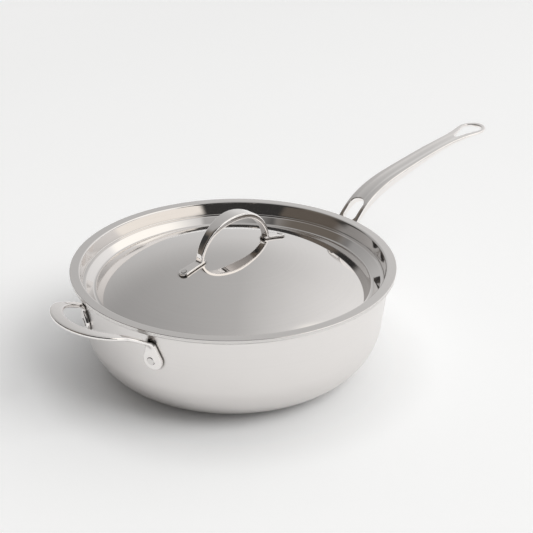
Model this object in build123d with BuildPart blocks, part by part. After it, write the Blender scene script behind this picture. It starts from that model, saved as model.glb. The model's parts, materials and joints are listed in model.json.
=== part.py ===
from build123d import *
from math import asin, cos, degrees, radians, sin, sqrt, tan
import os

os.makedirs("parts", exist_ok=True)

# Saute pan with lid. Millimetres, +Z up, origin on the pan's axis at the underside of the base.
# The long handle points along +X and the helper handle along -X.

# Pan body: one clad sheet of three bonded layers
pan_height = 95.5
base_radius = 88.0
corner_radius = 47.0
wall_lean = 6.9
outer_skin_sheet = 0.6
core_sheet = 1.4
inner_skin_sheet = 0.6
rim_bend = 2.0
rim_flat = 2.93

# Lid: one pressed sheet whose flange lies on the rim and whose plug drops inside the wall
lid_sheet = 1.2
flange_overhang = 0.4
plug_gap = 0.72
plug_depth = 12.2
ledge_run = 3.0
ledge_fall = 0.7
valley_width = 10.4
valley_run = 3.4
dome_rise = 13.0
dome_edge_drop = 18.2
flange_bend = 1.8
plug_bend = 1.0
ledge_bend = 1.8
valley_bend = 3.0

# Rivets
rivet_radius = 3.2
rivet_head_radius = 5.0
rivet_head_height = 1.6
rivet_proud = 0.3
lid_rivet_radius = 2.2
lid_rivet_head_radius = 3.8
lid_rivet_head_height = 1.1

# Room left between the handles and the rising lid, and how far cuts run past what they cut
rim_gap = 1.2
overrun = 14.0

# Long handle: reach is from the rim outward, rise is from the rim upward
strap_reach = 218.4
strap_rise = 45.5
strap_face_shares = [(-0.055, -0.645), (-0.02, -0.362), (0.018, -0.127), (0.075, 0.157), (0.193, 0.469),
                     (0.407, 0.704), (0.702, 0.9), (0.88, 0.96), (1.0, 1.0)]
strap_depth = 8.5
strap_depth_shares = [(0, 1.0), (0.17, 0.82), (0.3, 1.0), (0.48, 0.85), (0.66, 0.58), (0.85, 0.42),
                      (1, 0.38)]
strap_half = 12.0
strap_edge_shares = [(-0.045, 1.0), (0.10, 0.98), (0.40, 0.85), (0.60, 0.79), (0.72, 0.79), (0.81, 0.9),
                     (0.88, 1.13), (0.93, 1.24)]
strap_soft = 1.2
long_edge_share = 0.5
groove_radius = 16.0
groove_depth = 1.1
slot_share = 0.172
slot_length = 26.5
slot_width = 15.0
eye_radius = 10.4
eye_band = 5.8
eye_length = 25.5
eye_point_radius = 2.5

# Long handle's pad: three lugs with a rivet each, and a lug under the strap
side_rivet_y = 17.0
side_rivet_drop = 31.5
low_rivet_rise = 6.65
pad_sheet = 3.5
side_lug = 7.5
low_lug = 8.5
top_lug = 11.5
top_lug_drop = 19.5

# Helper handle: reach is from the rim outward, drop is from the rim down to the arms' lower ends
helper_reach = 39.3
helper_drop = 29.5
helper_face_shares = [(-0.499, 1.0), (-0.443, 0.661), (-0.333, 0.417), (-0.153, 0.261), (0.102, 0.088),
                      (0.407, -0.063), (0.712, -0.147), (1.04, -0.18)]
helper_depth = 3.2
helper_depth_shares = [(0, 2.35), (0.134, 1.85), (0.244, 1.25), (0.355, 1.0), (0.5, 1.0), (0.66, 1.0),
                       (0.83, 1.0), (1, 1.0)]
helper_half = 44.0
helper_front_band = 10.8
helper_arm_band = 7.4
helper_bow_share = 0.24
gap_bow_share = 0.035
helper_soft = 1.3
helper_splay = 5.6
helper_pad_out = 0.7
helper_pad_shift = 1.2
helper_pad_drop = 29.0
helper_pad_radius = 8.8
helper_neck_radius = 4.0
helper_neck_rise = 14.0

# Lid handle: an arched strap on two oval tabs
arch_half = 41.6
arch_rise = 38.6
arch_sink = 1.4
arch_leg_sheet = 3.3
arch_crown_sheet = 5.8
arch_mid_half = 7.2
arch_neck_half = 5.4
arch_neck_share = 0.55
arch_leg_half = 3.9
arch_soft = 1.1
arch_flare = 3.6
flare_sink = 0.6
tab_out = 16.0
tab_half = 4.9
tab_sheet = 2.4

# Values worked out from the ones above
lean = radians(wall_lean)
clad_sheet = outer_skin_sheet + core_sheet + inner_skin_sheet
bend_z = pan_height - clad_sheet - rim_bend
bend_x = base_radius + (corner_radius + rim_bend + (bend_z - corner_radius) * sin(lean)) / cos(lean)
wall_foot_x = base_radius + corner_radius * cos(lean)
wall_foot_z = corner_radius - corner_radius * sin(lean)
rim_radius = bend_x + rim_flat
low_rivet_z = wall_foot_z + low_rivet_rise
pad_low = low_rivet_z - low_lug - low_lug
pad_high = bend_z - rim_gap
strap_tip = rim_radius + strap_reach
sky = pan_height + strap_rise + strap_rise
eye_x = strap_tip - eye_band - eye_radius
helper_tip = rim_radius + helper_reach
helper_pad_y = helper_half + helper_pad_out
helper_foot = helper_half + helper_splay
gap_foot = helper_foot - helper_arm_band
wall_top_x = wall_foot_x + (pad_high - wall_foot_z) * tan(lean)
helper_root = sqrt(wall_top_x ** 2 - helper_half ** 2)
helper_bow = rim_radius + helper_reach * helper_bow_share
gap_bow = rim_radius + helper_reach * gap_bow_share
flange_radius = rim_radius + flange_overhang
lid_top = pan_height + lid_sheet


def wall_point(height, out):
    """A point of the outside wall in the X-Z plane, moved out along the wall's normal."""
    x = wall_foot_x + (height - wall_foot_z) * tan(lean)
    return (x + out * cos(lean), height - out * sin(lean))


# The lid's section follows the inside of the wall, a named gap away
plug_inset = clad_sheet + plug_gap + lid_sheet
plug_top = (wall_point(lid_top, -plug_inset)[0], lid_top)
plug_foot = (wall_point(lid_top - plug_depth, -plug_inset)[0], lid_top - plug_depth)
ledge = (plug_foot[0] - ledge_run, plug_foot[1] - ledge_fall)
dome_edge = (ledge[0] - valley_width, lid_top - dome_edge_drop)
dome_span = dome_rise + dome_edge_drop
dome_radius = (dome_edge[0] ** 2 + dome_span ** 2) / (2 * dome_span)
dome_centre_z = lid_top + dome_rise - dome_radius
dome_angle = degrees(asin(dome_edge[0] / dome_radius))
valley = (dome_edge[0] + valley_run * cos(radians(dome_angle)),
          dome_edge[1] - valley_run * sin(radians(dome_angle)))

# The lid handle stands on the dome
tab_x = arch_half + tab_out
arch_foot = dome_centre_z + sqrt(dome_radius ** 2 - arch_half ** 2) - arch_sink
flare_x = arch_half + arch_flare - flare_sink
flare_z = dome_centre_z + sqrt((dome_radius + tab_sheet) ** 2 - flare_x ** 2) + arch_flare - flare_sink
tab_sweep = degrees(asin((tab_x + tab_half + tab_half) / dome_radius))


def wall_plane(facing, y, drop):
    """A plane on the outside wall at a Y and a drop below the rim, facing out, on the +X or -X side."""
    radius = wall_point(pan_height - drop, 0)[0]
    x = facing * sqrt(radius ** 2 - y ** 2)
    across = cos(lean) / radius
    return Plane(origin=(x, y, pan_height - drop), x_dir=(-y, x, 0),
                 z_dir=(x * across, y * across, -sin(lean)))


def dome_plane(x):
    """A plane on the lid's dome at a given X, facing out."""
    rise = sqrt(dome_radius ** 2 - x ** 2)
    return Plane(origin=(x, 0, dome_centre_z + rise), x_dir=(rise, 0, -x), z_dir=(x, 0, rise))


def layer_outline(near, far):
    """Outline of one layer of the clad sheet between two depths under the outside face."""
    for depth in (near, far):
        corner = corner_radius - depth
        bend = rim_bend + depth
        foot = (base_radius + corner * cos(lean), corner_radius - corner * sin(lean))
        head = (bend_x - bend * cos(lean), bend_z + bend * sin(lean))
        Line((0, depth), (base_radius, depth))
        CenterArc((base_radius, corner_radius), corner, -90, 90 - wall_lean)
        Line(foot, head)
        CenterArc((bend_x, bend_z), bend, 180 - wall_lean, wall_lean - 90)
        Line((bend_x, bend_z + bend), (rim_radius, bend_z + bend))
    Line((0, near), (0, far))
    Line((rim_radius, bend_z + rim_bend + near), (rim_radius, bend_z + rim_bend + far))


def back_points(face, turn, depth, shares):
    """Points under a handle's upper face: shares of its depth, square to the face, on the given side."""
    points = []
    for place, share in shares:
        along = face % place
        points.append(face @ place + Vector(along.Y, -along.X) * turn * depth * share)
    return points


strap_face = [(rim_radius + strap_reach * out, pan_height + strap_rise * up) for out, up in strap_face_shares]
strap_edge = [(rim_radius + strap_reach * out, strap_half * wide) for out, wide in strap_edge_shares]
helper_face = [(-rim_radius - helper_reach * out, pan_height - helper_drop * down)
               for out, down in helper_face_shares]
long_rivet_planes = [wall_plane(1, side_rivet_y, side_rivet_drop),
                     wall_plane(1, -side_rivet_y, side_rivet_drop),
                     wall_plane(1, 0, pan_height - low_rivet_z)]
helper_rivet_planes = [wall_plane(-1, helper_pad_y, helper_pad_drop),
                       wall_plane(-1, -helper_pad_y, helper_pad_drop)]
wall_rivet_planes = long_rivet_planes + helper_rivet_planes
lid_rivet_planes = [dome_plane(tab_x), dome_plane(-tab_x)]

# Pan body, from the outside in
with BuildPart() as pan_outer_skin:
    with BuildSketch(Plane.XZ):
        with BuildLine():
            layer_outline(0, outer_skin_sheet)
        make_face()
    revolve(axis=Axis.Z)
    with BuildSketch(*wall_rivet_planes):
        Circle(rivet_radius)
    extrude(amount=overrun, both=True, mode=Mode.SUBTRACT)

with BuildPart() as pan_core:
    with BuildSketch(Plane.XZ):
        with BuildLine():
            layer_outline(outer_skin_sheet, outer_skin_sheet + core_sheet)
        make_face()
    revolve(axis=Axis.Z)
    with BuildSketch(*wall_rivet_planes):
        Circle(rivet_radius)
    extrude(amount=overrun, both=True, mode=Mode.SUBTRACT)

with BuildPart() as pan_inner_skin:
    with BuildSketch(Plane.XZ):
        with BuildLine():
            layer_outline(outer_skin_sheet + core_sheet, clad_sheet)
        make_face()
    revolve(axis=Axis.Z)
    with BuildSketch(*wall_rivet_planes):
        Circle(rivet_radius)
    extrude(amount=overrun, both=True, mode=Mode.SUBTRACT)

# A band that follows the outside wall, from which the handle pads are taken
with BuildPart() as pad_band:
    with BuildSketch(Plane.XZ):
        with BuildLine():
            Polyline(wall_point(pad_low, 0), wall_point(pad_high, 0), wall_point(pad_high, pad_sheet),
                     wall_point(pad_low, pad_sheet), close=True)
        make_face()
    revolve(axis=Axis.Z)

# The room that the pan's wall, its rim and the rising lid take up, kept clear by both handles
with BuildPart() as pan_room:
    with BuildSketch(Plane.XZ):
        with BuildLine():
            Polyline((0, 0), wall_point(0, 0), wall_point(bend_z, 0), (flange_radius + rim_gap, bend_z),
                     (flange_radius + rim_gap, sky), (0, sky), close=True)
        make_face()
    revolve(axis=Axis.Z)

# Long handle: a pad on the wall, and a strap that rises from it and ends in a hanging eye
with BuildPart() as long_pad:
    with BuildSketch(Plane.YZ):
        with BuildSketch(mode=Mode.PRIVATE) as lugs:
            with Locations((side_rivet_y, pan_height - side_rivet_drop),
                           (-side_rivet_y, pan_height - side_rivet_drop)):
                Circle(side_lug)
            with Locations((0, low_rivet_z)):
                Circle(low_lug)
            with Locations((0, pan_height - top_lug_drop)):
                Circle(top_lug)
        make_hull(lugs.sketch.edges())
    extrude(amount=strap_tip)
    add(pad_band.part, mode=Mode.INTERSECT)

with BuildPart() as groove_cutter:
    with BuildLine() as groove_path:
        Spline(*[(x, 0, z) for x, z in strap_face])
    with BuildSketch(Plane(groove_path.line @ 0, x_dir=(0, 1, 0), z_dir=groove_path.line % 0)):
        with Locations((0, groove_radius - groove_depth)):
            Circle(groove_radius)
    sweep()
    slot_spot = groove_path.line @ slot_share
    slot_way = groove_path.line % slot_share
    with BuildSketch(Plane.YZ.offset(slot_spot.X)):
        Rectangle(strap_tip, sky + sky)
    extrude(amount=eye_x - slot_spot.X, mode=Mode.INTERSECT)

with BuildPart() as long_handle:
    with BuildSketch(Plane.XZ):
        with BuildLine():
            face = Spline(*strap_face)
            back = Spline(*back_points(face, 1, strap_depth, strap_depth_shares))
            Line(face @ 0, back @ 0)
            Line(face @ 1, back @ 1)
        make_face()
    extrude(amount=strap_half + strap_half, both=True)
    with BuildSketch(Plane.XY):
        with BuildLine():
            edge = Spline(*strap_edge, (strap_tip, 0), tangents=[(1, 0), (0, -1)])
            mirror(about=Plane.XZ)
            Line(edge @ 0, (strap_edge[0][0], -strap_edge[0][1]))
        make_face()
    extrude(amount=sky, mode=Mode.INTERSECT)
    fillet(edges().filter_by(lambda e: e.length > strap_reach * long_edge_share), radius=strap_soft)
    add(pan_room.part, mode=Mode.SUBTRACT)
    add(long_pad.part)
    with BuildSketch(Plane(slot_spot, x_dir=slot_way, z_dir=(-slot_way.Z, 0, slot_way.X))):
        SlotOverall(slot_length, slot_width)
    extrude(amount=overrun, both=True, mode=Mode.SUBTRACT)
    with BuildSketch(Plane.XY):
        with BuildSketch(mode=Mode.PRIVATE) as eye:
            with Locations((eye_x, 0)):
                Circle(eye_radius)
            with Locations((eye_x - eye_length, 0)):
                Circle(eye_point_radius)
        make_hull(eye.sketch.edges())
    extrude(amount=sky, mode=Mode.SUBTRACT)
    add(groove_cutter.part, mode=Mode.SUBTRACT)
    with BuildSketch(*long_rivet_planes):
        Circle(rivet_radius)
    extrude(amount=overrun, both=True, mode=Mode.SUBTRACT)

# Helper handle: two pads, two rising arms and a flat bow
with BuildPart() as helper_pads:
    for side in (1, -1):
        with BuildSketch(wall_plane(-1, side * helper_pad_y, helper_pad_drop)):
            with BuildSketch(mode=Mode.PRIVATE) as lobes:
                with Locations((-side * helper_pad_shift, 0)):
                    Circle(helper_pad_radius)
                with Locations((-side * helper_pad_shift, helper_neck_rise)):
                    Circle(helper_neck_radius)
            make_hull(lobes.sketch.edges())
        extrude(amount=overrun, both=True)
    add(pad_band.part, mode=Mode.INTERSECT)

with BuildPart() as helper_handle:
    with BuildSketch(Plane.XZ):
        with BuildLine():
            face = Spline(*helper_face)
            back = Spline(*back_points(face, -1, helper_depth, helper_depth_shares))
            Line(face @ 0, back @ 0)
            Line(face @ 1, back @ 1)
        make_face()
    extrude(amount=helper_half + overrun, both=True)
    with BuildSketch(Plane.XY):
        with BuildLine():
            bow = EllipticalCenterArc((-helper_bow, 0), helper_tip - helper_bow, helper_half,
                                      90, arc_size=180)
            left = Spline(bow @ 0, (-helper_root, helper_foot), tangents=[(1, 0), (1, 0)])
            right = Spline(bow @ 1, (-helper_root, -helper_foot), tangents=[(1, 0), (1, 0)])
            Polyline(left @ 1, (0, helper_foot), (0, -helper_foot), right @ 1)
        make_face()
        with BuildLine():
            bow = EllipticalCenterArc((-gap_bow, 0), helper_tip - helper_front_band - gap_bow,
                                      helper_half - helper_arm_band, 90, arc_size=180)
            left = Spline(bow @ 0, (-helper_root, gap_foot), tangents=[(1, 0), (1, 0)])
            right = Spline(bow @ 1, (-helper_root, -gap_foot), tangents=[(1, 0), (1, 0)])
            Polyline(left @ 1, (0, gap_foot), (0, -gap_foot), right @ 1)
        make_face(mode=Mode.SUBTRACT)
    extrude(amount=sky, mode=Mode.INTERSECT)
    fillet(edges().filter_by(lambda e: e.length > helper_half), radius=helper_soft)
    add(pan_room.part, mode=Mode.SUBTRACT)
    add(helper_pads.part)
    with BuildSketch(*helper_rivet_planes):
        Circle(rivet_radius)
    extrude(amount=overrun, both=True, mode=Mode.SUBTRACT)

# Rivets through the pads and the wall, with a low round head inside the pan
with BuildPart() as long_handle_rivets:
    with BuildSketch(*[plane.offset(-clad_sheet) for plane in long_rivet_planes]):
        Circle(rivet_radius)
    extrude(amount=clad_sheet + pad_sheet + rivet_proud)
    with BuildSketch(*[plane.offset(-clad_sheet) for plane in long_rivet_planes]):
        Circle(rivet_head_radius)
    extrude(amount=-rivet_head_height)
    add(pan_inner_skin.part, mode=Mode.SUBTRACT)

with BuildPart() as helper_handle_rivets:
    with BuildSketch(*[plane.offset(-clad_sheet) for plane in helper_rivet_planes]):
        Circle(rivet_radius)
    extrude(amount=clad_sheet + pad_sheet + rivet_proud)
    with BuildSketch(*[plane.offset(-clad_sheet) for plane in helper_rivet_planes]):
        Circle(rivet_head_radius)
    extrude(amount=-rivet_head_height)
    add(pan_inner_skin.part, mode=Mode.SUBTRACT)

# Lid: one pressed sheet with a flat flange, a plug wall, a ledge, a valley and a low dome
with BuildPart() as lid_shell:
    with BuildSketch(Plane.XZ):
        with BuildLine():
            FilletPolyline((flange_radius, lid_top), plug_top, plug_foot, ledge, valley, dome_edge,
                           radius=(flange_bend, plug_bend, ledge_bend, valley_bend))
            CenterArc((0, dome_centre_z), dome_radius, 90 - dome_angle, dome_angle)
            offset(amount=lid_sheet, side=Side.LEFT)
        make_face()
    revolve(axis=Axis.Z)
    with BuildSketch(*lid_rivet_planes):
        Circle(lid_rivet_radius)
    extrude(amount=overrun, both=True, mode=Mode.SUBTRACT)

# Lid handle: an arched strap that stands on two oval tabs
with BuildPart() as tab_band:
    with BuildSketch(Plane.XZ):
        with BuildLine():
            low = CenterArc((0, dome_centre_z), dome_radius, 90 - tab_sweep, tab_sweep)
            high = CenterArc((0, dome_centre_z), dome_radius + tab_sheet, 90 - tab_sweep, tab_sweep)
            Line(low @ 0, high @ 0)
            Line(low @ 1, high @ 1)
        make_face()
    revolve(axis=Axis.Z)

with BuildPart() as lid_tabs:
    for side in (1, -1):
        with BuildSketch(Plane.XY):
            with BuildSketch(mode=Mode.PRIVATE) as ends:
                with Locations((side * tab_x, 0)):
                    Circle(tab_half)
                with Locations((side * (arch_half - arch_leg_sheet), 0)):
                    Circle(arch_leg_half)
            make_hull(ends.sketch.edges())
        extrude(amount=sky)
    add(tab_band.part, mode=Mode.INTERSECT)

with BuildPart() as lid_handle:
    with BuildSketch(Plane((0, 0, arch_foot), x_dir=(1, 0, 0), z_dir=(0, -1, 0))):
        Ellipse(arch_half, arch_rise)
        Ellipse(arch_half - arch_leg_sheet, arch_rise - arch_crown_sheet, mode=Mode.SUBTRACT)
        Rectangle(arch_half + arch_half, arch_rise, align=(Align.CENTER, Align.MIN), mode=Mode.INTERSECT)
    extrude(amount=arch_mid_half, both=True)
    with BuildSketch(Plane.XY):
        with BuildLine():
            edge = Spline((-arch_half, arch_leg_half), (-arch_half * arch_neck_share, arch_neck_half),
                          (0, arch_mid_half), (arch_half * arch_neck_share, arch_neck_half),
                          (arch_half, arch_leg_half))
            mirror(about=Plane.XZ)
            Line(edge @ 0, (-arch_half, -arch_leg_half))
            Line(edge @ 1, (arch_half, -arch_leg_half))
        make_face()
    extrude(amount=sky, mode=Mode.INTERSECT)
    fillet(edges().filter_by(lambda e: e.length > arch_half), radius=arch_soft)
    with BuildSketch(Plane.XZ):
        for side in (1, -1):
            with Locations((side * (flare_x - arch_flare / 2 - arch_leg_sheet / 4), flare_z)):
                Rectangle(arch_flare + arch_leg_sheet / 2, arch_rise, align=(Align.CENTER, Align.MAX))
            with Locations((side * flare_x, flare_z)):
                Circle(arch_flare, mode=Mode.SUBTRACT)
    extrude(amount=arch_leg_half - arch_soft / 2, both=True)
    with Locations((0, 0, dome_centre_z)):
        Sphere(dome_radius, mode=Mode.SUBTRACT)
    add(lid_tabs.part)
    with BuildSketch(*lid_rivet_planes):
        Circle(lid_rivet_radius)
    extrude(amount=overrun, both=True, mode=Mode.SUBTRACT)

with BuildPart() as lid_handle_rivets:
    with BuildSketch(*[plane.offset(-lid_sheet) for plane in lid_rivet_planes]):
        Circle(lid_rivet_radius)
    extrude(amount=lid_sheet + tab_sheet + rivet_proud)
    with BuildSketch(*[plane.offset(-lid_sheet) for plane in lid_rivet_planes]):
        Circle(lid_rivet_head_radius)
    extrude(amount=-lid_rivet_head_height)
    add(lid_shell.part, mode=Mode.SUBTRACT)

# Names and files
pan_outer_skin.part.label = "pan_outer_skin"
export_step(pan_outer_skin.part, "parts/pan_outer_skin.step")
pan_core.part.label = "pan_core"
export_step(pan_core.part, "parts/pan_core.step")
pan_inner_skin.part.label = "pan_inner_skin"
export_step(pan_inner_skin.part, "parts/pan_inner_skin.step")
long_handle.part.label = "long_handle"
export_step(long_handle.part, "parts/long_handle.step")
long_handle_rivets.part.label = "long_handle_rivets"
export_step(long_handle_rivets.part, "parts/long_handle_rivets.step")
helper_handle.part.label = "helper_handle"
export_step(helper_handle.part, "parts/helper_handle.step")
helper_handle_rivets.part.label = "helper_handle_rivets"
export_step(helper_handle_rivets.part, "parts/helper_handle_rivets.step")
lid_shell.part.label = "lid_shell"
export_step(lid_shell.part, "parts/lid_shell.step")
lid_handle.part.label = "lid_handle"
export_step(lid_handle.part, "parts/lid_handle.step")
lid_handle_rivets.part.label = "lid_handle_rivets"
export_step(lid_handle_rivets.part, "parts/lid_handle_rivets.step")
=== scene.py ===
"""Saute pan with lid: metals, finer pieces, floor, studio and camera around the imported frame. Metres, +Z up."""
import json
from math import acos, asin, atan2, cos, degrees, hypot, pi, radians, sin, sqrt, tan

import bpy
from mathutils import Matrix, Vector

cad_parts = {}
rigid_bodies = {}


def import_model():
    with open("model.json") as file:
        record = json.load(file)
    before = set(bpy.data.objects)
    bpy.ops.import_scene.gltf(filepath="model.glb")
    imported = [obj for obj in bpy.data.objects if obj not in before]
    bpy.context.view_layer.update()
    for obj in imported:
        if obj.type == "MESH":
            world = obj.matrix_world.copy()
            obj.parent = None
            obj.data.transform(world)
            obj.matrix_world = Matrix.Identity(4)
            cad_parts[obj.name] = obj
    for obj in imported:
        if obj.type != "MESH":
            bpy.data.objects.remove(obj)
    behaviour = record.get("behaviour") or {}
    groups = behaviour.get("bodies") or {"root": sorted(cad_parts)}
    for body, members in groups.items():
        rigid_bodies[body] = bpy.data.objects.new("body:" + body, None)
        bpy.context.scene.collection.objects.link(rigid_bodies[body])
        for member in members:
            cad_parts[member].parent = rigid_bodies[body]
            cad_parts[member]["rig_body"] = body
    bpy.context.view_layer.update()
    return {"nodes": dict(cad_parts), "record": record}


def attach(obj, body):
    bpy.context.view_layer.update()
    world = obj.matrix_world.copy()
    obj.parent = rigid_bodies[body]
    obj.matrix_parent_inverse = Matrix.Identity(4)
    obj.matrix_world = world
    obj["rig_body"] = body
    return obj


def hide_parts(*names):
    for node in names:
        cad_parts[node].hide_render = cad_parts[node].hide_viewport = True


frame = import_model()


# Node helpers
MIX_SHARE, MIX_FIRST, MIX_SECOND, MIX_RESULT = 0, 6, 7, 2  # sockets of the mix node when it mixes colours


class Tree:
    """A small wrapper that adds shader nodes and links them."""

    def __init__(self, tree):
        self.tree = tree
        self.tree.nodes.clear()

    def add(self, kind, links=None, **settings):
        node = self.tree.nodes.new(kind)
        for name, value in settings.items():
            setattr(node, name, value)
        for socket, value in (links or {}).items():
            self.put(node, socket, value)
        return node

    def put(self, node, socket, value):
        target = node.inputs[socket]
        if isinstance(value, bpy.types.NodeSocket):
            self.tree.links.new(value, target)
        elif isinstance(value, bpy.types.Node):
            self.tree.links.new(value.outputs[0], target)
        else:
            target.default_value = value

    def math(self, operation, first, second=0.0, third=0.0):
        return self.add("ShaderNodeMath", {0: first, 1: second, 2: third}, operation=operation).outputs[0]

    def weigh(self, first, second, share):
        """The first value's rest share plus the second value's share."""
        return self.math("ADD", self.math("MULTIPLY", first, 1 - share), self.math("MULTIPLY", second, share))

    def ramp(self, value, low, high, to_low=0.0, to_high=1.0, smooth=True):
        kind = "SMOOTHSTEP" if smooth else "LINEAR"
        links = {"Value": value, "From Min": low, "From Max": high, "To Min": to_low, "To Max": to_high}
        return self.add("ShaderNodeMapRange", links, interpolation_type=kind).outputs[0]

    def mix(self, share, first, second):
        links = {MIX_SHARE: share, MIX_FIRST: first, MIX_SECOND: second}
        return self.add("ShaderNodeMix", links, data_type="RGBA").outputs[MIX_RESULT]

    def noise(self, vector, scale, detail=2.0, rough=0.5):
        links = {"Vector": vector, "Scale": scale, "Detail": detail, "Roughness": rough}
        return self.add("ShaderNodeTexNoise", links).outputs[0]

    def open_share(self, reach, samples):
        """How much of the surroundings within reach is open, 0 in a deep crease and 1 on a free face."""
        return self.add("ShaderNodeAmbientOcclusion", {"Distance": reach}, samples=samples).outputs["AO"]

    def combine(self, x, y, z):
        return self.add("ShaderNodeCombineXYZ", {0: x, 1: y, 2: z}).outputs[0]


def rgb(value, tint=(1.0, 1.0, 1.0)):
    return tuple(value * t for t in tint) + (1.0,)


# Metals
STEEL_TINT = (1.0, 0.97, 0.95)
NOISE_LOW, NOISE_HIGH = 0.3, 0.7  # the part of a noise's range that carries the detail
RING_SHARE, HAIR_SHARE = 0.4, 0.15
CLOUD_SCALE = 14.0
HAIR_SCALE, HAIR_TURN = (40.0, 900.0, 900.0), (0.2, 0.4, 0.6)
# Painted shade in creases and gaps: its reach, samples, the open shares between which it fades in, and its dark
# colour
CREASE_SHADE_REACH, CREASE_SHADE_SAMPLES = 0.0025, 8
CREASE_SHADE_DARK, CREASE_SHADE_CLEAR = 0.3, 0.92
CREASE_SHADE_COLOUR = rgb(0.10, (1.0, 0.85, 0.7))
BUMP_DISTANCE = 0.001


def steel(name, tone, rough, rough_range, grain=0.0, grain_step=900.0, smudge=0.012, wave=0.0, wave_scale=60.0):
    """Steel or aluminium: turned grain around the pan's axis, smudges, hairlines, painted shade in creases, slow
    waviness.
    """
    material = bpy.data.materials.new(name)
    material.use_nodes = True
    t = Tree(material.node_tree)
    place = t.add("ShaderNodeTexCoord").outputs["Object"]
    x, y, z = t.add("ShaderNodeSeparateXYZ", {0: place}).outputs
    out = t.math("SQRT", t.math("ADD", t.math("POWER", x, 2.0), t.math("POWER", y, 2.0)))
    turned = t.combine(t.math("MULTIPLY", out, grain_step), t.math("MULTIPLY", z, grain_step), 0.0)
    rings = t.noise(turned, 1.0, detail=3.0, rough=0.6)
    cloud = t.noise(place, CLOUD_SCALE, detail=3.0, rough=0.55)
    stretched = t.add("ShaderNodeMapping", {"Vector": place, "Scale": HAIR_SCALE, "Rotation": HAIR_TURN})
    hair = t.noise(stretched, 1.0, detail=2.0, rough=0.5)
    tone_share = t.ramp(t.weigh(cloud, rings, RING_SHARE), NOISE_LOW, NOISE_HIGH)
    colour = t.mix(tone_share, rgb(tone - smudge, STEEL_TINT), rgb(tone + smudge, STEEL_TINT))
    # Painted shade: the colour darkens in creases and narrow gaps between parts, where little of the surroundings
    # is open
    crease = t.ramp(t.open_share(CREASE_SHADE_REACH, CREASE_SHADE_SAMPLES), CREASE_SHADE_DARK, CREASE_SHADE_CLEAR, smooth=False)
    colour = t.mix(crease, CREASE_SHADE_COLOUR, colour)
    dull = t.weigh(cloud, hair, HAIR_SHARE)
    roughness = t.ramp(dull, NOISE_LOW, NOISE_HIGH, rough, rough + rough_range, smooth=False)
    height = t.math("MULTIPLY", rings, grain)
    if wave:
        swell = t.noise(place, wave_scale, detail=1.0, rough=0.4)
        height = t.math("ADD", height, t.math("MULTIPLY", swell, wave))
    bump = t.add("ShaderNodeBump", {"Height": height, "Distance": BUMP_DISTANCE, "Strength": 1.0})
    shader = t.add("ShaderNodeBsdfPrincipled", {"Base Color": colour, "Metallic": 1.0, "Roughness": roughness,
                                                "Normal": bump})
    t.add("ShaderNodeOutputMaterial", {"Surface": shader})
    return material


MATERIALS = {
    "satin_steel": steel("satin_steel", 0.83, 0.285, 0.035, grain_step=420.0, smudge=0.008),
    "core_aluminium": steel("core_aluminium", 0.80, 0.38, 0.08, grain=0.01, grain_step=1800.0),
    "inner_steel": steel("inner_steel", 0.74, 0.29, 0.05, grain=0.01, grain_step=1600.0),
    "cast_steel": steel("cast_steel", 0.91, 0.05, 0.03, wave=0.01, wave_scale=60.0),
    "rivet_steel": steel("rivet_steel", 0.78, 0.12, 0.06, wave=0.02, wave_scale=200.0),
    "polished_steel": steel("polished_steel", 0.80, 0.04, 0.02, grain_step=420.0),
}

SLOTS = {part["node"]: part["material_slot"] for part in frame["record"]["subparts"]}
for node, body in frame["nodes"].items():
    body.data.materials.clear()
    body.data.materials.append(MATERIALS[SLOTS[node]])


# Outlines of turned sheet, in millimetres, as (radius, height) points
def arc(centre, radius, start, sweep, steps):
    """Points on an arc, with its start and sweep in degrees."""
    angles = [radians(start + sweep * k / steps) for k in range(steps + 1)]
    return [(centre[0] + radius * cos(angle), centre[1] + radius * sin(angle)) for angle in angles]


def rounded(points, radii, steps=10, near=0.2):
    """An open outline whose inner corners are arcs, with a close point on each side of every arc."""
    out = [points[0]]
    for before, corner, after, radius in zip(points, points[1:], points[2:], radii):
        corner = Vector(corner)
        back, ahead = (Vector(before) - corner).normalized(), (Vector(after) - corner).normalized()
        half = acos(back.dot(ahead)) / 2
        reach = radius / tan(half)
        centre = corner + (back + ahead).normalized() * radius / sin(half)
        start, end = corner + back * reach, corner + ahead * reach
        first = atan2(start.y - centre.y, start.x - centre.x)
        turn = (atan2(end.y - centre.y, end.x - centre.x) - first + pi) % (2 * pi) - pi
        out.append(tuple(start + back * near))
        out += arc(centre, radius, degrees(first), degrees(turn), steps)
        out.append(tuple(end + ahead * near))
    return out + [points[-1]]


def moved(line, amount):
    """The outline moved sideways, to the left of its direction."""
    out = []
    for k, point in enumerate(line):
        before, after = line[max(k - 1, 0)], line[min(k + 1, len(line) - 1)]
        x, y = after[0] - before[0], after[1] - before[1]
        size = hypot(x, y)
        out.append((point[0] - y / size * amount, point[1] + x / size * amount))
    return out


# Pieces that replace CAD nodes, in the same places, with finer bends and softer edges
MM = 0.001
AROUND = 288
ON_AXIS = 1e-6


def piece(name, mesh, node):
    """A new object that stands for a CAD node, with the node's body, slot and metal."""
    slot = SLOTS[node]
    mesh.materials.clear()
    mesh.materials.append(MATERIALS[slot])
    mesh.shade_smooth()
    body = bpy.data.objects.new(name, mesh)
    bpy.context.scene.collection.objects.link(body)
    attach(body, frame["nodes"][node]["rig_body"])
    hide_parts(node)


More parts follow.
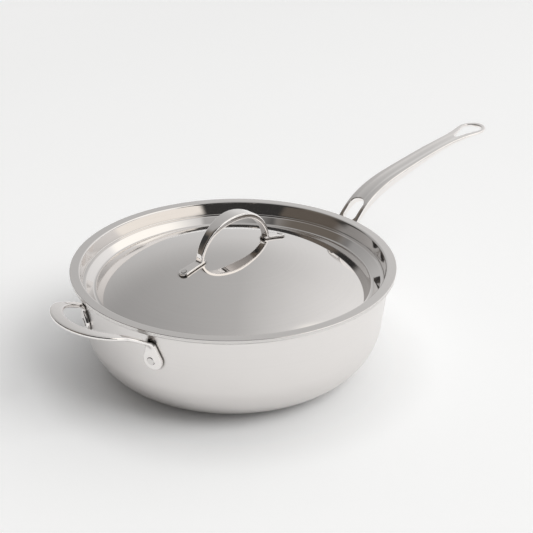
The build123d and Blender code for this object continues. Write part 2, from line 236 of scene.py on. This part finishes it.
def lathe(name, outline, node):
    """An outline from the axis back to the axis, turned around the pan's axis."""
    points, faces, rows = [], [], []
    for radius, height in outline:
        row = []
        for k in range(AROUND if radius > ON_AXIS else 1):
            angle = 2 * pi * k / AROUND
            row.append(len(points))
            points.append((radius * cos(angle) * MM, radius * sin(angle) * MM, height * MM))
        rows.append(row)
    for low, high in zip(rows, rows[1:]):
        for k in range(AROUND):
            corners = [low[k % len(low)], low[(k + 1) % len(low)], high[(k + 1) % len(high)], high[k % len(high)]]
            faces.append([v for n, v in enumerate(corners) if v not in corners[:n]])
    mesh = bpy.data.meshes.new(name)
    mesh.from_pydata(points, [], faces)
    mesh.update()
    piece(name, mesh, node)


def softened(name, node, voxel, passes, factor=0.5):
    """The node's own shape as an even mesh whose edges are rounded off, as on a polished casting."""
    rough = bpy.data.objects.new(name, frame["nodes"][node].data.copy())
    bpy.context.scene.collection.objects.link(rough)
    remesh = rough.modifiers.new("even", "REMESH")
    remesh.mode = "VOXEL"
    remesh.voxel_size = voxel
    smooth = rough.modifiers.new("soft", "SMOOTH")
    smooth.factor = factor
    smooth.iterations = passes
    mesh = bpy.data.meshes.new_from_object(rough.evaluated_get(bpy.context.evaluated_depsgraph_get()))
    bpy.data.objects.remove(rough)
    piece(name, mesh, node)


# The clad body's sizes in millimetres, as in the frame
LEAN_DEGREES = 6.9
LEAN = radians(LEAN_DEGREES)
BASE, CORNER, HEIGHT = 88.0, 47.0, 95.5
SKIN, CLAD = 0.6, 2.6
RIM_BEND, RIM_FLAT = 2.0, 2.93
SKIN_EDGE = 0.25
BASE_NEAR, BEND_NEAR = 0.5, 0.3
CORNER_STEPS, BEND_STEPS, SKIN_EDGE_STEPS = 40, 12, 5
BEND_Z = HEIGHT - CLAD - RIM_BEND
BEND_X = BASE + (CORNER + RIM_BEND + (BEND_Z - CORNER) * sin(LEAN)) / cos(LEAN)
RIM = BEND_X + RIM_FLAT
RIM_UNDER = BEND_Z + RIM_BEND


def wall_line(depth, rim_edge):
    """The clad sheet's line at a depth under the outside face, from the axis to the rim."""
    corner, bend = CORNER - depth, RIM_BEND + depth
    line = [(0, depth), (BASE - BASE_NEAR, depth)]
    line += arc((BASE, CORNER), corner, -90, 90 - LEAN_DEGREES, CORNER_STEPS)
    line += arc((BEND_X, BEND_Z), bend, 180 - LEAN_DEGREES, LEAN_DEGREES - 90, BEND_STEPS)
    return line + [(BEND_X + BEND_NEAR, BEND_Z + bend), (rim_edge, BEND_Z + bend)]


skin = wall_line(0, RIM - SKIN_EDGE)
skin += arc((RIM - SKIN_EDGE, RIM_UNDER + SKIN_EDGE), SKIN_EDGE, -90, 90, SKIN_EDGE_STEPS)
skin += [(RIM, RIM_UNDER + SKIN)] + wall_line(SKIN, RIM - SKIN_EDGE)[::-1]
lathe("outer_skin", skin, "pan_outer_skin")

# The lid's sizes in millimetres, as in the frame; the outline is its upper face
LID_SHEET, FLANGE_OVERHANG = 1.2, 0.4
PLUG_GAP, PLUG_DEPTH = 0.72, 12.2
LEDGE_WIDTH, LEDGE_DROP = 3.0, 0.7
DOME_INSET, DOME_DROP, DOME_RISE = 10.4, 18.2, 13.0
VALLEY_RUN = 3.4
LID_BENDS = (1.8, 1.0, 1.8, 3.0)
LID_EDGE, LID_EDGE_NEAR = 0.5, 0.2
DOME_STEPS, LID_EDGE_STEPS = 70, 6
FLANGE = RIM + FLANGE_OVERHANG
LID_TOP = HEIGHT + LID_SHEET
LID_UNDER = LID_TOP - LID_SHEET
PLUG_INSET = CLAD + PLUG_GAP + LID_SHEET
FOOT_X, FOOT_Z = BASE + CORNER * cos(LEAN), CORNER - CORNER * sin(LEAN)


def plug_point(height):
    """A point of the plug wall, which follows the inside of the pan's leaning wall."""
    return (FOOT_X + (height - FOOT_Z) * tan(LEAN) - PLUG_INSET * cos(LEAN), height)


plug_top, plug_foot = plug_point(LID_TOP), plug_point(LID_TOP - PLUG_DEPTH)
ledge = (plug_foot[0] - LEDGE_WIDTH, plug_foot[1] - LEDGE_DROP)
dome_edge = (ledge[0] - DOME_INSET, LID_TOP - DOME_DROP)
span = DOME_RISE + DOME_DROP
dome_radius = (dome_edge[0] ** 2 + span ** 2) / (2 * span)
slope = asin(dome_edge[0] / dome_radius)
valley = (dome_edge[0] + VALLEY_RUN * cos(slope), dome_edge[1] - VALLEY_RUN * sin(slope))
top = rounded([(FLANGE, LID_TOP), plug_top, plug_foot, ledge, valley, dome_edge], LID_BENDS)[1:]
dome_centre = (0, LID_TOP + DOME_RISE - dome_radius)
top += arc(dome_centre, dome_radius, 90 - degrees(slope), degrees(slope), DOME_STEPS)[1:]
top[-1] = (0, LID_TOP + DOME_RISE)
under = moved(top, LID_SHEET)
under[-1] = (0, LID_UNDER + DOME_RISE)
edge_x = FLANGE - LID_EDGE
rim = [(edge_x - LID_EDGE_NEAR, LID_UNDER)] + arc((edge_x, LID_UNDER + LID_EDGE), LID_EDGE, -90, 90, LID_EDGE_STEPS)
rim += arc((edge_x, LID_TOP - LID_EDGE), LID_EDGE, 0, 90, LID_EDGE_STEPS) + [(edge_x - LID_EDGE_NEAR, LID_TOP)]
lathe("lid_sheet", under[::-1] + rim + top, "lid_shell")

softened("long_strap", "long_handle", voxel=0.00055, passes=10)
softened("helper_bow", "helper_handle", voxel=0.00045, passes=12)
softened("lid_arch", "lid_handle", voxel=0.0004, passes=12)


# Floor: pale paper that the camera and the metal see a little brighter than the light alone makes it, with painted
# light that grows towards the front, and a painted shadow right beside the pan, where that lift fades with how open
# the floor is
PAPER_TINT = (0.985, 0.993, 1.0)
PAPER_DARK, PAPER_PALE = 0.85, 0.86
PAPER_SCALE = 3.0
LIFT, LIFT_PER_METRE = 0.255, -0.05
LIFT_LEAST, LIFT_MOST = 0.205, 0.275
# Painted contact shadow: how far from the pan, and how strongly, the floor's lift fades
CONTACT_SHADOW_REACH, CONTACT_SHADOW_SAMPLES, CONTACT_SHADOW_POWER = 0.065, 12, 1.5
FLOOR_HALF = 8.0

floor_material = bpy.data.materials.new("floor")
floor_material.use_nodes = True
t = Tree(floor_material.node_tree)
fibres = t.noise(t.add("ShaderNodeTexCoord").outputs["Object"], PAPER_SCALE)
paper_colour = t.mix(fibres, rgb(PAPER_DARK, PAPER_TINT), rgb(PAPER_PALE, PAPER_TINT))
paper = t.add("ShaderNodeBsdfPrincipled", {"Base Color": paper_colour, "Roughness": 0.8, "Specular IOR Level": 0.1})
path = t.add("ShaderNodeLightPath").outputs
seen = t.math("MAXIMUM", path["Is Camera Ray"], path["Is Glossy Ray"])
seen = t.math("MAXIMUM", seen, path["Is Transmission Ray"])
spot = t.add("ShaderNodeSeparateXYZ", {0: t.add("ShaderNodeNewGeometry").outputs["Position"]})
# Painted light: the lift grows towards -Y, so the floor is brighter towards the front
lift = t.math("MULTIPLY_ADD", spot.outputs["Y"], LIFT_PER_METRE, LIFT)
lift = t.math("MINIMUM", t.math("MAXIMUM", lift, LIFT_LEAST), LIFT_MOST)
# Painted shadow: the lift fades where little is open beside the pan, so the floor darkens there
lift = t.math("MULTIPLY", lift, t.math("POWER", t.open_share(CONTACT_SHADOW_REACH, CONTACT_SHADOW_SAMPLES), CONTACT_SHADOW_POWER))
glow = t.add("ShaderNodeEmission", {"Color": rgb(1.0), "Strength": t.math("MULTIPLY", seen, lift)})
t.add("ShaderNodeOutputMaterial", {"Surface": t.add("ShaderNodeAddShader", {0: paper, 1: glow})})

corners = [(x * FLOOR_HALF, y * FLOOR_HALF, 0) for x, y in ((-1, -1), (1, -1), (1, 1), (-1, 1))]
floor_mesh = bpy.data.meshes.new("floor")
floor_mesh.from_pydata(corners, [], [(0, 1, 2, 3)])
floor_mesh.materials.append(floor_material)
floor = bpy.data.objects.new("floor", floor_mesh)
bpy.context.scene.collection.objects.link(floor)


# World: a soft studio, brighter on the camera's right, with the fields that the polished lid mirrors in the photo
UPPER_GREY, UPPER_TO_LEFT, UPPER_TO_RIGHT = 0.53, 0.25, 0.68
LOWER_GREY, LOWER_TO_RIGHT = 0.70, 0.36
RISE_START, RISE_END = 0.17, 0.64
WALL_MOST = 1.2
WALL_TINT = (1.0, 0.995, 0.99)

world = bpy.data.worlds.new("studio")
bpy.context.scene.world = world
world.use_nodes = True
t = Tree(world.node_tree)
ray_x, ray_y, height = t.add("ShaderNodeSeparateXYZ", {0: t.add("ShaderNodeTexCoord").outputs["Generated"]}).outputs
right = t.math("MULTIPLY", t.math("SUBTRACT", ray_x, ray_y), sqrt(0.5))


def turned_by(angle):
    """Angle in degrees between the ray's heading and the given heading, 0 to 180."""
    along, across = cos(radians(angle)), sin(radians(angle))
    ahead = t.math("ADD", t.math("MULTIPLY", ray_x, along), t.math("MULTIPLY", ray_y, across))
    aside = t.math("SUBTRACT", t.math("MULTIPLY", ray_y, along), t.math("MULTIPLY", ray_x, across))
    return t.math("MULTIPLY", t.math("ABSOLUTE", t.math("ARCTAN2", aside, ahead)), degrees(1))


def field(heading, half_width, soft, low, low_soft, high, high_soft):
    """A soft-edged field of the studio around a heading, between two heights, all in degrees."""
    across = t.ramp(turned_by(heading), half_width - soft, half_width + soft, 1.0, 0.0)
    upper = t.ramp(height, sin(radians(high - high_soft)), sin(radians(high + high_soft)), 1.0, 0.0)
    lower = t.ramp(height, sin(radians(low - low_soft)), sin(radians(low + low_soft)), 0.0, 1.0)
    return t.math("MULTIPLY", t.math("MULTIPLY", across, upper), lower)


upper_wall = t.math("MAXIMUM", t.math("MULTIPLY_ADD", right, UPPER_TO_LEFT, UPPER_GREY),
                    t.math("MULTIPLY_ADD", right, UPPER_TO_RIGHT, UPPER_GREY))
lower_wall = t.math("MULTIPLY_ADD", right, LOWER_TO_RIGHT, LOWER_GREY)
rise = t.ramp(height, RISE_START, RISE_END)
wall = t.math("ADD", t.math("MULTIPLY", upper_wall, rise),
              t.math("MULTIPLY", lower_wall, t.math("SUBTRACT", 1.0, rise)))
colour = t.mix(t.math("MINIMUM", wall, WALL_MOST), rgb(0.0), rgb(1.0, WALL_TINT))
FIELDS = (  # what each one is, its colour and its place; a later field covers an earlier one
    ("brown room on the left", rgb(0.16, (1.0, 0.88, 0.76)), (185, 74, 7, -2, 2, 66, 7)),
    ("black beside the lid handle's leg", rgb(0.04), (122, 14, 6, 8, 4, 37, 3)),
    ("black behind the camera, in the plug wall", rgb(0.05), (221, 50, 4, -2, 2, 68, 6)),
    ("low dark strip on the right", rgb(0.03), (-42, 14, 5, 1, 3, 9, 3)),
    ("large pale light on the right", rgb(1.0, (1.25, 1.22, 1.16)), (-52, 45, 4, 30, 5, 63, 6)),
)
for _, tone, place in FIELDS:
    colour = t.mix(field(*place), colour, tone)
t.add("ShaderNodeOutputWorld", {"Surface": t.add("ShaderNodeBackground", {"Color": colour, "Strength": 1.0})})

# Key light: a broad soft lamp from the right, hidden from mirrors, that sends the shadow to the left
KEY_HEADING, KEY_HEIGHT = radians(-66), radians(45)
to_key = Vector((cos(KEY_HEADING) * cos(KEY_HEIGHT), sin(KEY_HEADING) * cos(KEY_HEIGHT), sin(KEY_HEIGHT)))
sun = bpy.data.lights.new("key", "SUN")
sun.energy = 1.15
sun.angle = radians(35)
key = bpy.data.objects.new("key", sun)
key.rotation_euler = (-to_key).to_track_quat("-Z", "Y").to_euler()
key.visible_glossy = False
bpy.context.scene.collection.objects.link(key)

# Camera: fitted to the rim's ellipse, the lid's rings and the base
LOOK_DOWN, LOOK_TURN = 25.826, -44
camera_data = bpy.data.cameras.new("camera")
camera_data.sensor_width = 36.0
camera_data.lens = 76.19
camera_data.clip_start = 0.01
camera_data.clip_end = 50.0
camera = bpy.data.objects.new("camera", camera_data)
camera.location = (-0.6147, -0.6792, 0.5338)
camera.rotation_euler = (radians(90 - LOOK_DOWN), 0, radians(LOOK_TURN))
bpy.context.scene.collection.objects.link(camera)
bpy.context.scene.camera = camera

bpy.context.scene.view_settings.view_transform = "Standard"
